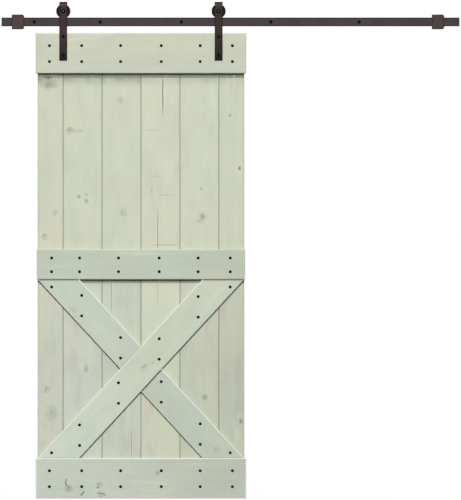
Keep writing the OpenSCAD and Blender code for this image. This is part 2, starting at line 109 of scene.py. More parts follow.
def ramp(value, fromLow, fromHigh, toLow, toHigh, smooth=True):
    limits = {"Value": value, "From Min": fromLow, "From Max": fromHigh, "To Min": toLow, "To Max": toHigh}
    kind = "SMOOTHSTEP" if smooth else "LINEAR"
    return put("ShaderNodeMapRange", limits, interpolation_type=kind).outputs["Result"]


def blendColour(share, first, second, mode="MIX"):
    values = {0: share, 6: first, 7: second}  # places of a colour mix among the node's inputs
    return put("ShaderNodeMix", values, data_type="RGBA", blend_type=mode).outputs[2]


def vectorStep(operation, first, second):
    return put("ShaderNodeVectorMath", {0: first, 1: second}, operation=operation).outputs[0]


def axesOf(vector):
    return put("ShaderNodeSeparateXYZ", {0: vector}).outputs


def sidestep(distance):
    return put("ShaderNodeCombineXYZ", {"X": distance}).outputs[0]


def swapAxes(vector):
    # changes across for along
    parts = axesOf(vector)
    return put("ShaderNodeCombineXYZ", {"X": parts["Z"], "Y": parts["Y"], "Z": parts["X"]}).outputs[0]


def noise(vector, scale, seed, detail=3.0, rough=0.5):
    values = {"Vector": vector, "Scale": scale, "W": seed, "Detail": detail, "Roughness": rough}
    return put("ShaderNodeTexNoise", values, noise_dimensions="4D").outputs["Fac"]


def jitter(vector, scale, seed, detail, rough=0.5):
    # noise about nought
    return minus(noise(vector, scale, seed, detail, rough), 0.5)


def newMaterial(name):
    material = bpy.data.materials.new(name)
    material.use_nodes = True
    return material, material.node_tree, material.node_tree.nodes["Principled BSDF"]


def newGroup(name, inputs, outputs):
    # sockets named in two rows of words; gives back what comes in and the node that takes the results
    tree = bpy.data.node_groups.new(name, "ShaderNodeTree")
    for socket in inputs.split():
        kind = "NodeSocketVector" if socket in ("Vector", "Centre", "Half") else "NodeSocketFloat"
        tree.interface.new_socket(socket, in_out="INPUT", socket_type=kind)
    for socket in outputs.split():
        tree.interface.new_socket(socket, in_out="OUTPUT", socket_type="NodeSocketFloat")
    return tree.nodes.new("NodeGroupInput").outputs, tree.nodes.new("NodeGroupOutput")


def useGroup(group, **values):
    return put("ShaderNodeGroup", values, node_tree=group).outputs


# layers of a sawn face's figure: each a noise drawn out along the grain, with a shift of the piece's seed;
# a still layer doesn't sway with the grain, and a cut keeps only the tops of the noise
grainLayers = {
    "Fine": {"stretch": 0.02, "scale": 420.0, "detail": 2.0},
    "Streak": {"stretch": 0.05, "scale": 48.0, "detail": 4.0, "rough": 0.55},
    "Blotch": {"stretch": 0.45, "scale": 11.0, "detail": 4.0, "rough": 0.6, "still": True},
    "Tint": {"stretch": 0.5, "scale": 7.0, "detail": 3.0, "shift": 7.3, "still": True},
    "Pore": {"stretch": 0.03, "scale": 1100.0, "detail": 1.0, "shift": 2.7, "cut": (0.6, 0.72)},
    "Pale": {"stretch": 0.12, "scale": 26.0, "detail": 3.0, "rough": 0.6, "shift": 4.9, "cut": (0.56, 0.76)},
}
grainSway = {"stretch": (0.5, 0.5, 1), "scale": 2.2, "detail": 1.0, "reach": 0.09}
growthRings = {"pith": (0.015, 0.07, 0), "pace": 1900.0, "wobble": 9.0, "dark": -0.2}


def grainGroup():
    # figure of a sawn face: pores, fine lines, streaks, stain blotches and a drift of hue, along a grain that
    # wanders sideways on its way up; and the growth rings that an end shows, round a pith behind the plank
    given, result = newGroup("plank grain", "Vector Seed", "Pore Fine Streak Blotch Tint Pale Growth")
    vector, seed = given["Vector"], given["Seed"]
    slow = vectorStep("MULTIPLY", vector, grainSway["stretch"])
    sway = jitter(slow, grainSway["scale"], seed, grainSway["detail"])
    swayed = vectorStep("ADD", vector, sidestep(times(sway, grainSway["reach"])))
    made = {}
    for name, layer in grainLayers.items():
        place = vector if "still" in layer else swayed
        drawn = vectorStep("MULTIPLY", place, (1, 1, layer["stretch"]))
        own = calc("ADD", seed, layer.get("shift", 0.0))
        made[name] = noise(drawn, layer["scale"], own, layer["detail"], layer.get("rough", 0.5))
        if "cut" in layer:
            made[name] = ramp(made[name], *layer["cut"], 0.0, 1.0)
    pith = axesOf(vectorStep("SUBTRACT", vector, growthRings["pith"]))
    away = calc("SQRT", squares(pith["X"], pith["Y"]))
    wobble = times(made["Blotch"], growthRings["wobble"])
    wave = calc("SINE", scaled(away, growthRings["pace"], wobble))
    made["Growth"] = ramp(wave, growthRings["dark"], 1.0, 0.0, 1.0)
    return setInputs(result, made).id_data


# a knot's parts, with distances in shares of its radius
knotLook = {
    "outline": ((42.0, 2.0, 0.5, 1.1), (170.0, 3.0, 0.6, 0.45)),  # noises: scale, detail, roughness, reach
    "rings": (19.0, 0.28),  # pace and depth of the rings in a disc
    "disc": (0.3, 1.15),  # where a disc begins to thin and where it ends
    "circle": (0.8, 16.0),  # place and sharpness of a ring knot's line
    "strokes": {"scale": 240.0, "detail": 2.0, "cut": (0.4, 0.62), "least": 0.55},
    "cracks": {"scale": 130.0, "shift": 3.0, "cut": (0.55, 0.66), "share": 0.8},
    "side": {"turn": 5.0, "swing": 0.4, "mean": 0.8},  # one side is darker, turned by the seed
    "heart": (0.1, 0.5),
    "halo": (1.45, 9.0),  # place and sharpness of the pale line opposite the dark side
    "bend": (0.3, 0.6),  # how fast the push on the grain dies away, and its share
    "seedStep": 1.9,
}


def knotGroup():
    # a knot: ragged disc or ring round a centre, with a dark core, and the push that it gives the grain
    inputs = "Vector Across Along Radius Stretch Ring Seed"
    given, result = newGroup("knot", inputs, "Mask Core Halo Push")
    vector, seed, radius = given["Vector"], given["Seed"], given["Radius"]
    place = axesOf(vector)
    sideways = calc("DIVIDE", minus(place["X"], given["Across"]), radius)
    tall = times(radius, given["Stretch"])
    lengthways = calc("DIVIDE", minus(place["Z"], given["Along"]), tall)
    square = squares(sideways, lengthways)
    distance = calc("SQRT", square)
    for scale, detail, rough, reach in knotLook["outline"]:
        uneven = jitter(vector, scale, seed, detail, rough)
        distance = scaled(uneven, reach, distance)
    pace, depth = knotLook["rings"]
    rings = scaled(calc("SINE", times(distance, pace)), depth, 1.0 - depth)
    disc = times(ramp(distance, *knotLook["disc"], 1.0, 0.0), rings)
    line, sharp = knotLook["circle"]
    circle = bell(minus(distance, line), sharp)
    strokes = knotLook["strokes"]
    drawn = noise(vector, strokes["scale"], seed, strokes["detail"])
    drawn = ramp(drawn, *strokes["cut"], strokes["least"], 1.0)
    drawn = times(put("ShaderNodeMix", {0: given["Ring"], 2: disc, 3: circle}).outputs[0], drawn)
    side = knotLook["side"]
    facing = scaled(seed, side["turn"], calc("ARCTAN2", sideways, lengthways))
    facing = calc("SINE", facing)
    drawn = times(drawn, scaled(facing, side["swing"], side["mean"]))
    heart = times(ramp(distance, *knotLook["heart"], 1.0, 0.0), minus(1.0, given["Ring"]))
    cracks = knotLook["cracks"]
    gaps = noise(vector, cracks["scale"], calc("ADD", seed, cracks["shift"]))
    gaps = ramp(gaps, *cracks["cut"], 0.0, cracks["share"])
    core = calc("MAXIMUM", heart, times(gaps, calc("SQRT", drawn)))
    line, sharp = knotLook["halo"]
    pale = scaled(facing, -0.5, 0.5)
    halo = times(bell(minus(distance, line), sharp), pale)
    fall, share = knotLook["bend"]
    swing = calc("EXPONENT", times(square, -fall))
    push = times(times(sideways, radius), times(swing, share))
    return setInputs(result, {"Mask": drawn, "Core": core, "Halo": halo, "Push": push}).id_data


# a drying split: pace and reach of the waves in its line, shares of its length by which it is open and from
# which it closes, and place in widths and sharpness of the pale lip on both sides
splitLook = {"waves": ((70.0, 0.3 * mm), (190.0, 0.12 * mm)), "opens": 0.1, "closes": 0.55, "lip": (2.6, 0.6)}


def splitGroup():
    # a drying split along the grain: a wandering line that opens at its start and closes at its end
    given, result = newGroup("drying split", "Vector Across Start End Width Seed", "Mask Lip")
    place = axesOf(given["Vector"])
    aside = minus(place["X"], given["Across"])
    for pace, reach in splitLook["waves"]:
        wave = calc("SINE", scaled(place["Z"], pace, given["Seed"]))
        aside = scaled(wave, -reach, aside)
    offset = calc("DIVIDE", aside, given["Width"])
    length = minus(given["End"], given["Start"])
    run = calc("DIVIDE", minus(place["Z"], given["Start"]), length)
    opening = ramp(run, 0.0, splitLook["opens"], 0.0, 1.0)
    opened = times(opening, ramp(run, splitLook["closes"], 1.0, 1.0, 0.0))
    line, sharp = splitLook["lip"]
    lip = bell(minus(calc("ABSOLUTE", offset), line), sharp)
    mask = times(bell(offset, 1.0), opened)
    return setInputs(result, {"Mask": mask, "Lip": times(lip, opened)}).id_data


# a check: scale, detail and reach in widths of its ragged edge, and the share of its half length that is full
checkLook = {"ragged": (260.0, 2.0, 2.4), "full": 0.45}


def checkGroup():
    # a short check in or beside a knot: a ragged stroke at an angle, bowed and tapered to both ends
    given, result = newGroup("knot check", "Vector Across Along Angle Reach Bow Width Seed", "Mask")
    place = axesOf(given["Vector"])
    sideways = minus(place["X"], given["Across"])
    lengthways = minus(place["Z"], given["Along"])
    cosine, sine = calc("COSINE", given["Angle"]), calc("SINE", given["Angle"])
    run = scaled(sideways, cosine, times(lengthways, sine))
    run = calc("DIVIDE", run, given["Reach"])
    aside = minus(times(lengthways, cosine), times(sideways, sine))
    aside = scaled(times(run, run), given["Bow"], aside)
    scale, detail, reach = checkLook["ragged"]
    ragged = jitter(given["Vector"], scale, given["Seed"], detail)
    offset = scaled(ragged, reach, calc("DIVIDE", aside, given["Width"]))
    taper = ramp(calc("ABSOLUTE", run), checkLook["full"], 1.0, 1.0, 0.0)
    return setInputs(result, {"Mask": times(bell(offset, 1.0), taper)}).id_data


# the painted shade's share runs between these as the blotches do, and its painted shadow line ends
# between these shares of the depth
paintedShadeLook = {"blotch": (0.35, 0.65), "share": (0.4, 1.6), "lineEdge": (0.8, 1.1)}


def paintedShadeGroup():
    # painted shade and shadow under a rail or beside a brace: a soft painted shade that thins out over its
    # reach, uneven as the blotches are, and a darker painted shadow line in the corner itself, as deep as
    # given
    given, result = newGroup("grime in a corner", "Vector Under Reach Share Depth Line Blotch", "Mask")
    place = axesOf(given["Vector"])
    below = calc("ABSOLUTE", minus(given["Under"], place["Z"]))
    patchy = ramp(given["Blotch"], *paintedShadeLook["blotch"], *paintedShadeLook["share"])
    film = ramp(calc("DIVIDE", below, given["Reach"]), 0.0, 1.0, 1.0, 0.0)
    film = times(film, times(patchy, given["Share"]))
    line = ramp(calc("DIVIDE", below, given["Depth"]), *paintedShadeLook["lineEdge"], 1.0, 0.0)
    line = times(line, given["Line"])
    return setInputs(result, {"Mask": calc("MAXIMUM", film, line)}).id_data


sawnTurn = (0.75, 0.95)  # where a turned face begins to count as a side or an end, and where it is one


def sawnGroup():
    # sides and ends of a plank, told by how far a face turns from the front: across the grain, or along it
    given, result = newGroup("sawn sides and ends", "Vector", "Side End")
    facing = axesOf(given["Vector"])
    side, end = (ramp(calc("ABSOLUTE", facing[axis]), *sawnTurn, 0.0, 1.0) for axis in "XZ")
    return setInputs(result, {"Side": side, "End": end}).id_data


coatNoise = {"Smear": (14.0, 4.0, 0.6), "Pebble": (900.0, 2.0, 0.5)}  # scale, detail and roughness


def coatGroup():
    # uneven coat: soft smears, and the fine pebble of powder coat
    given, result = newGroup("handled coat", "Vector Seed", "Smear Pebble")
    made = {}
    for name, (scale, detail, rough) in coatNoise.items():
        made[name] = noise(given["Vector"], scale, given["Seed"], detail, rough)
    return setInputs(result, made).id_data


rimFull = 0.35  # share of a rim's band that is at full strength


def rimGroup():
    # band along a piece's outline, from its centre and half size: 1 at the edge, 0 a band's width inside
    given, result = newGroup("rim of a piece", "Vector Centre Half Band", "Mask")
    offset = vectorStep("SUBTRACT", given["Vector"], given["Centre"])
    away = put("ShaderNodeVectorMath", {0: offset}, operation="ABSOLUTE").outputs[0]
    inside = axesOf(vectorStep("SUBTRACT", given["Half"], away))
    least = calc("DIVIDE", calc("MINIMUM", inside["X"], inside["Z"]), given["Band"])
    return setInputs(result, {"Mask": ramp(least, rimFull, 1.0, 1.0, 0.0)}).id_data


grain = grainGroup()
knot = knotGroup()
split = splitGroup()
check = checkGroup()
paintedShade = paintedShadeGroup()
sawn = sawnGroup()
coat = coatGroup()
rim = rimGroup()
print("shader groups built")

# stain, as seen on the door: a pale sage that drifts between greener and creamier; each tone has the share by
# which it is laid on, and lilac is fainter on rails and braces; the pale edge tone of rails and braces is a
# painted highlight, and the side tone is painted shade on sawn sides
stain = {
    "cool": ((190, 209, 191), 0.32), "warm": ((217, 213, 190), 0.32), "lilac": ((199, 198, 189), 0.45),
    "trimLilac": ((199, 198, 189), 0.15), "pale": ((225, 229, 212), 0.45), "halo": ((225, 229, 212), 0.3),
    "knot": ((138, 143, 124), 1.5), "core": ((88, 90, 72), 0.8), "check": ((88, 90, 72), 1.0),
    "split": ((96, 94, 78), 1.0), "lip": ((226, 229, 212), 0.5), "joint": ((128, 134, 112), 0.3),
    "wearAndHighlight": ((252, 254, 244), 0.3), "side": ((150, 156, 136), 0.6), "end": ((182, 183, 156), 0.6),
    "ring": ((132, 130, 102), 0.45),
}
# where each drift of colour begins and ends: on a noise, or for foot and grey in metres along the piece
drift = {
    "cool": (0.5, 0.7), "warm": (0.3, 0.5), "lilac": (0.36, 0.5), "foot": (-0.35, 0.1), "grey": (-0.3, 0.2),
}
leastGrey = 0.25  # share of a board's lilac that is left high on the door
# middle and weight of each layer of the figure in the wood's light and dark
figureShade = {"Streak": (0.5, 0.08), "Pore": (0.0, -0.09), "Fine": (0.5, 0.12), "Blotch": (0.5, 0.16)}
sheen = {"roughness": 0.62, "swing": 0.06, "streak": (0.3, 0.7), "specular": 0.2}
sawRelief = {"Fine": 0.6, "Pore": -0.5, "strength": 0.3, "depth": 0.3 * mm}
markDepth = (4 * mm, 10 * mm)  # knots go through a board, other marks fade out between these depths
edgeBand = 5 * mm  # along a plank's edges: darkened in a board's joints, a painted highlight on rails and braces
farEnd = 10  # a half length past every piece, where its rim isn't wanted

# each wooden piece: its tone, the tone that it drifts to at its foot or left end, its fade, a painted shade
# (two places along it in metres from its middle, and the shades there), the strength of its painted shade
# in corners and of its painted highlight along the edges, the lean of its grain from upright, and its marks,
# in millimetres right of the door's middle and below its top
# knots: x, drop, radius, length share, strength, ring share
# splits: x, drop at the open end, drop at the tip, width, strength
# scratches: drop, both ends, width, strength
# checks: x, drop, length, angle in degrees up from level, bow of the middle, width, strength
woodPieces = {
    "board_1": {
        "tone": (212, 214, 192),
        "footTone": (204, 208, 190),
        "paintedShade": 2.2,
        "seed": 1.7,
        "knots": [
            (-428, 203, 18, 0.55, 0.5, 0.1), (-426, 232, 46, 0.75, 0.4, 0.0), (-441, 935, 13, 1.1, 0.55, 0.7),
            (-396, 821, 15, 0.9, 0.4, 0.4), (-429, 1637, 13, 1.2, 0.5, 0.7), (-413, 1742, 27, 1.3, 0.38, 0.4),
        ],
        "checks": [
            (-422, 204, 21, 47, 0, 3.2, 1.0), (-437, 201, 17, 5, 1, 3, 0.85),
            (-409, 201, 14, 30, 0, 2.4, 0.7),
        ],
    },
    "board_2": {
        "tone": (209, 215, 192),
        "footTone": (205, 211, 196),
        "paintedShade": 1.6,
        "seed": 4.1,
        "knots": [
            (-326, 449, 19, 0.9, 0.6, 0.3), (-285, 446, 24, 0.4, 0.3, 0.2), (-285, 752, 9, 1.2, 0.7, 0.1),
            (-251, 739, 9, 1.0, 0.45, 0.6), (-250, 771, 11, 1.1, 0.65, 0.3), (-253, 1536, 14, 1.6, 0.5, 0.3),
        ],
    },
    "board_3": {
        "tone": (208, 214, 192),
        "footTone": (202, 210, 192),
        "fade": (-0.3, 0.1, 0.965, 1.01),
        "paintedShade": 2.0,
        "seed": 8.9,
        "knots": [(-97, 307, 14, 1.2, 0.42, 0.5), (-80, 821, 17, 1.1, 0.4, 0.5)],
        "splits": [(-136, 1130, 1330, 1.5, 0.6), (-44, 1965, 1795, 1.4, 0.65)],
    },
    "board_4": {
        "tone": (211, 215, 192),
        "fade": (-0.35, -0.1, 0.965, 1.025),
        "seed": 12.4,
        "splits": [
            (100, 205, 405, 2.5, 0.85), (77, 1000, 780, 1.8, 0.75), (50, 740, 690, 1.4, 0.5),
            (77, 1130, 1260, 1.4, 0.4), (26, 715, 680, 1.5, 0.3),
        ],
        "scratches": [
            (445, 22, 104, 1.5, 0.45), (656, 60, 100, 1.5, 0.4), (743, 82, 160, 1.5, 0.5),
            (972, 176, 20, 1.7, 0.5),
        ],
    },
    "board_5": {
        "tone": (210, 215, 193),
        "fade": (-0.6, 0.3, 0.87, 1.01),
        "seed": 15.2,
        "knots": [
            (275, 715, 8, 1.2, 0.4, 0.2), (285, 838, 18, 1.1, 0.6, 0.25), (268, 864, 19, 0.6, 0.28, 0.2),
            (293, 1669, 15, 1.0, 0.65, 0.2),
        ],
    },
    "board_6": {
        "tone": (207, 212, 190),
        "fade": (-0.6, 0.3, 0.85, 1.0),
        "seed": 19.8,
        "knots": [(408, 376, 9, 1.2, 0.6, 0.3), (452, 621, 9, 1.4, 0.85, 0), (458, 1779, 12, 1.4, 0.9, 0.1)],
    },
    "top_rail": {"tone": (205, 210, 189), "seed": 23.3, "lean": 90},
    "middle_rail": {"tone": (195, 204, 185), "seed": 27.9, "lean": 90, "fade": (0.0, 0.45, 1.0, 0.95)},
    "bottom_rail": {
        "tone": (201, 207, 191),
        "footTone": (202, 209, 196),
        "seed": 31.5,
        "lean": 90,
        "fade": (-0.2, 0.48, 1.0, 0.9),
        "wearAndHighlight": 1.0,
        "knots": [
            (-330, 2092, 19, 1.2, 0.4, 0.1), (-191, 2072, 17, 1.1, 0.38, 0.3),
            (-178, 2112, 18, 1.4, 0.2, 0.2), (77, 2019, 15, 0.8, 0.5, 0.2),
        ],
        "checks": [
            (-343, 2051, 18, 63, 0, 2.6, 0.85), (-343, 2069, 27, -70, 3, 3.2, 0.95),
            (-330, 2082, 22, 4, -1.5, 3.2, 0.7), (-268, 2111, 34, 44, 2, 3.4, 0.85),
            (-197, 2084, 15, 20, 0, 3.4, 0.75), (-181, 2111, 48, -14, 6, 3.4, 0.85),
            (-186, 2124, 22, -27, 2, 2.4, 0.6),
        ],
        "splits": [(-150, 1983, -120, 1.2, 0.3), (100, 1971, 140, 1.2, 0.35), (405, 2054, 425, 1.3, 0.5)],
    },
    "long_brace": {
        "tone": (206, 213, 191),
        "footTone": (209, 217, 200),
        "seed": 35.1,
        "wearAndHighlight": 0.85,
        "knots": [(20, 1528, 13, 2.4, 0.2, 0.4)],
        "checks": [
            (16, 1527, 27, 52, 2, 2.6, 0.5), (5, 1534, 15, 40, 0, 2.4, 0.45), (54, 1513, 15, 25, 0, 2.6, 0.5),
        ],
    },
    "upper_brace": {
        "tone": (201, 211, 193),
        "seed": 39.7,
        "wearAndHighlight": 1.0,
        "knots": [(-312, 1264, 16, 1.4, 0.2, 0.4)],
    },
    "lower_brace": {
        "tone": (195, 204, 187),
        "seed": 43.2,
        "wearAndHighlight": 1.0,
        "knots": [(352, 1912, 18, 1.2, 0.25, 0.3)],
    },
}
# painted shade on each kind of piece, by what it lies under or beside: how far its soft painted shade
# reaches and its share, then the depth and the share of the painted shadow line in the corner
shadeInCorners = {
    "board": {
        "top_rail": {"Reach": 70 * mm, "Share": 0.22, "Depth": 22 * mm, "Line": 0.6},
        "middle_rail": {"Reach": 35 * mm, "Share": 0.12, "Depth": 17.5 * mm, "Line": 0.55},
    },
    "brace": {"middle_rail": {"Reach": 20 * mm, "Share": 0.05, "Depth": 5.5 * mm, "Line": 0.65}},
    "rail": {},
    "joint": {"Reach": 12 * mm, "Share": 0.08, "Depth": 5.5 * mm, "Line": 0.85},
}
boardShape = {
    "bevel": 3 * mm, "outerBevel": 1.5 * mm, "tongue": 6 * mm, "tongueLong": 7 * mm, "slack": 0.4 * mm,
    "backLines": 5,
}
braceWidth = 140 * mm
woodGap = 0.4 * mm  # between a half brace and the long one
railEase = 5 * mm  # radius of the eased front edges

braceLow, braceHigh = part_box("long_brace")
braceCentre = np.array([(braceLow.x + braceHigh.x) / 2, (braceLow.z + braceHigh.z) / 2])
braceWide, braceTall = braceHigh.x - braceLow.x, braceHigh.z - braceLow.z
braceRise = math.atan2(braceTall, braceWide) + math.asin(braceWidth / math.hypot(braceWide, braceTall))
woodPieces["long_brace"]["lean"] = 90 - math.degrees(braceRise)
woodPieces["upper_brace"]["lean"] = woodPieces["lower_brace"]["lean"] = math.degrees(braceRise) - 90


def setFrame(name):
    # piece frame: across and along axes in the door's face, the grain's lean turned clockwise from upright
    piece = woodPieces[name]
    low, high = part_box(name)
    lean = math.radians(piece.get("lean", 0))
    wide, tall = high.x - low.x, high.z - low.z
    if "board" in name and name != "board_6":
        wide -= boardShape["tongueLong"]
    piece["centre"] = braceCentre if "brace" in name else np.array([low.x + wide / 2, low.z + tall / 2])
    piece["across"] = np.array([math.cos(lean), -math.sin(lean)])
    piece["along"] = np.array([math.sin(lean), math.cos(lean)])
    piece["turn"] = -lean
    if "rail" in name:
        piece["half"] = (tall / 2, wide / 2)
    else:
        piece["half"] = (braceWidth / 2 if "brace" in name else wide / 2, farEnd)


def inPiece(piece, x, drop):
    # a point of the door's face in the piece's own across and along measures
    offset = np.array([doorMiddle + x * mm, doorTop - drop * mm]) - piece["centre"]
    return float(offset @ piece["across"]), float(offset @ piece["along"])


def marksOf(piece):
    # the piece's marks in its own measures
    marks = {"knots": [], "splits": [], "scratches": [], "checks": []}
    for x, drop, radius, stretch, strength, ring in piece.get("knots", []):
        marks["knots"].append((*inPiece(piece, x, drop), radius * mm, stretch, strength, ring))
    for x, start, end, width, strength in piece.get("splits", []):
        first, last = inPiece(piece, x, start), inPiece(piece, x, end)
        if piece.get("lean") == 90:  # in a rail a split lies level, so its last place is the x of its tip
            last = inPiece(piece, end, start)
        marks["splits"].append((first[0], first[1], last[1], width * mm, strength))
    for drop, first, last, width, strength in piece.get("scratches", []):
        start, end = inPiece(piece, first, drop), inPiece(piece, last, drop)
        marks["scratches"].append((start[1], start[0], end[0], width * mm, strength))
    for x, drop, length, angle, bow, width, strength in piece.get("checks", []):
        turn = math.radians(angle) - piece["turn"]
        stroke = (*inPiece(piece, x, drop), turn, length / 2 * mm, bow * mm, width * mm, strength)
        marks["checks"].append(stroke)
    return marks


for name in woodPieces:
    setFrame(name)
    woodPieces[name]["marks"] = marksOf(woodPieces[name])


def lieAlong(vector, piece):
    # turns the door's face until the piece's grain is upright
    turn = {"Vector": vector, "Angle": piece["turn"]}
    return put("ShaderNodeVectorRotate", turn, rotation_type="Y_AXIS").outputs[0]


def stained(colour, name, mask, share=None):
    # lays a tone of the stain over a colour, by its own share of the mask or by the one given
    tone, usual = stain[name]
    amount = times(mask, usual if share is None else share)
    return blendColour(amount, colour, linear(*tone))


def layKnots(piece, vector):
    # each knot's masks and strength, and coordinates in which the grain bends round them all
    knotMasks, flow = [], vector
    for k, (across, along, radius, stretch, strength, ring) in enumerate(piece["marks"]["knots"]):
        out = useGroup(knot, Vector=vector, Across=across, Along=along, Radius=radius, Stretch=stretch,
                       Ring=ring, Seed=piece["seed"] + knotLook["seedStep"] * k)
        flow = vectorStep("SUBTRACT", flow, sidestep(out["Push"]))
        knotMasks.append((out, strength))
    return knotMasks, flow


def baseColour(piece, kind, along, figure):
    # the piece's tone, drifting to that of its foot, with cooler, warmer and greyer patches
    colour = linear(*piece["tone"])
    if "footTone" in piece:
        low = ramp(along, *drift["foot"], 1.0, 0.0)
        colour = blendColour(low, colour, linear(*piece["footTone"]))
    cool = ramp(figure["Tint"], *drift["cool"], 0.0, 1.0)
    warm = ramp(figure["Tint"], *drift["warm"], 1.0, 0.0)
    lilac = ramp(figure["Blotch"], *drift["lilac"], 1.0, 0.0)
    if kind == "board":  # greyest low on the door
        lilac = times(lilac, ramp(along, *drift["grey"], 1.0, leastGrey))
    colour = stained(colour, "cool", cool)
    colour = stained(colour, "warm", warm)
    return stained(colour, "lilac" if kind == "board" else "trimLilac", lilac)


def shadeOf(name, kind, centred, along, front, figure):
    # light and dark of the figure about each layer's middle, the piece's fade (painted shade), and the
    # painted shade and shadow in its corners
    piece = woodPieces[name]
    shade = 1.0
    for layer, (middle, weight) in figureShade.items():
        shade = scaled(minus(figure[layer], middle), weight, shade)
    # the fade is painted shade, darker towards the foot of a board and the right end of a rail
    if "fade" in piece:
        shade = times(shade, ramp(along, *piece["fade"]))
    corners = [(centred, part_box(upper)[0].z - piece["centre"][1], shadeInCorners[kind][upper]) for upper in shadeInCorners[kind]]
    # the lower brace gets a painted shadow line where its upper end butts against the long brace
    if name == "lower_brace":  # its upper end butts against the long brace
        beside = swapAxes(lieAlong(centred, woodPieces["long_brace"]))
        corners.append((beside, braceWidth / 2 + woodGap, shadeInCorners["joint"]))
    # each corner gets painted shade: a soft shade that thins out, and a painted shadow line in the corner
    for place, under, values in corners:
        film = {**values, "Share": values["Share"] * piece.get("paintedShade", 1.0)}
        dim = useGroup(paintedShade, Vector=place, Under=under, Blotch=figure["Blotch"], **film)["Mask"]
        shade = times(shade, minus(1.0, times(dim, front)))
    return put("ShaderNodeCombineXYZ", {"X": shade, "Y": shade, "Z": shade}).outputs[0]


def layMarks(piece, colour, knotMasks, vector, front):
    # knots in their pale halos, then splits and scratches between their lips, then checks
    for out, strength in knotMasks:
        for tone, part in (("halo", "Halo"), ("knot", "Mask"), ("core", "Core")):
            colour = stained(colour, tone, times(out[part], strength))
    marks, seed = piece["marks"], piece["seed"]
    for lines, place in ((marks["splits"], vector), (marks["scratches"], swapAxes(vector))):
        for across, start, end, width, strength in lines:
            out = useGroup(split, Vector=place, Across=across, Start=start, End=end, Width=width,
                           Seed=seed)
            shown = times(front, strength)
            colour = stained(colour, "lip", times(out["Lip"], shown))
            colour = stained(colour, "split", times(out["Mask"], shown))
    for across, along, angle, reach, bow, width, strength in marks["checks"]:
        out = useGroup(check, Vector=vector, Across=across, Along=along, Angle=angle, Reach=reach,
                       Bow=bow, Width=width, Seed=seed)
        shown = times(front, strength)
        colour = stained(colour, "check", times(out["Mask"], shown))
    return colour


def edgeTones(piece, kind, colour, vector, normal, figure):
    # a board's edges darken in the joints, those of rails and braces get a painted highlight; then sawn
    # sides, painted darker as shade, ends and their rings
    half = (piece["half"][0], farEnd, piece["half"][1])
    edge = useGroup(rim, Vector=vector, Centre=(0, 0, 0), Half=half, Band=edgeBand)["Mask"]
    # rails and braces get a painted highlight along their edges
    tone = "joint" if kind == "board" else "wearAndHighlight"
    colour = stained(colour, tone, edge, piece.get("wearAndHighlight"))
    cut = useGroup(sawn, Vector=lieAlong(normal, piece))
    # sawn sides painted darker: painted shade, which also dims the light they throw onto the boards beside
    # them
    colour = stained(colour, "side", cut["Side"])
    colour = stained(colour, "end", cut["End"])
    return stained(colour, "ring", times(cut["End"], figure["Growth"]))


def woodFinish(name):
    piece = woodPieces[name]
    kind = next(word for word in shadeInCorners if word in name)
    material, tree, shader = newMaterial("sage stain " + name)
    texture = tree.nodes.new("ShaderNodeTexCoord").outputs
    middle = (piece["centre"][0], boardFront, piece["centre"][1])
    centred = vectorStep("SUBTRACT", texture["Object"], middle)
    vector = lieAlong(centred, piece)
    parts = axesOf(vector)
    front = ramp(parts["Y"], *markDepth, 1.0, 0.0)
    knotMasks, flow = layKnots(piece, vector)
    figure = useGroup(grain, Vector=flow, Seed=piece["seed"])
    colour = baseColour(piece, kind, parts["Z"], figure)
    shade = shadeOf(name, kind, centred, parts["Z"], front, figure)
    colour = blendColour(1.0, colour, shade, "MULTIPLY")
    colour = stained(colour, "pale", figure["Pale"])
    colour = layMarks(piece, colour, knotMasks, vector, front)
    colour = edgeTones(piece, kind, colour, vector, texture["Normal"], figure)
    dull, slick = sheen["roughness"] + sheen["swing"], sheen["roughness"] - sheen["swing"]
    rough = ramp(figure["Streak"], *sheen["streak"], dull, slick, False)
    height = scaled(figure["Fine"], sawRelief["Fine"], figure["Streak"])
    height = scaled(figure["Pore"], sawRelief["Pore"], height)
    bump = {"Height": height, "Strength": sawRelief["strength"], "Distance": sawRelief["depth"]}
    setInputs(shader, {
        "Base Color": colour,
        "Roughness": rough,
        "Specular IOR Level": sheen["specular"],
        "Normal": put("ShaderNodeBump", bump).outputs[0],
    })
    return material


# grid steps on a plank, the share of a step that even lines keep clear of others, the least gap between lines
# and the steps over a rounded edge; then the depths of its marks and waves
plankStep = {"across": 4 * mm, "along": 5 * mm, "clear": 0.35, "least": 0.15 * mm, "ease": 5}
plankRelief = {"wave": 0.16 * mm, "knotDip": 0.35 * mm, "splitDip": 1.3 * mm, "skin": 0.02 * mm}
planeWaves = {"slow": (41, 13), "cross": (83, 7), "crossShare": 0.6}  # paces across and along
dipRings = {"pace": 9, "share": 0.6}
splitSpread = (-2.2, -1.4, -0.7, 0, 0.7, 1.4, 2.2)  # lines of the grid at a split, in its widths


def smoothStep(value):
    value = np.clip(value, 0, 1)
    return value * value * (3 - 2 * value)


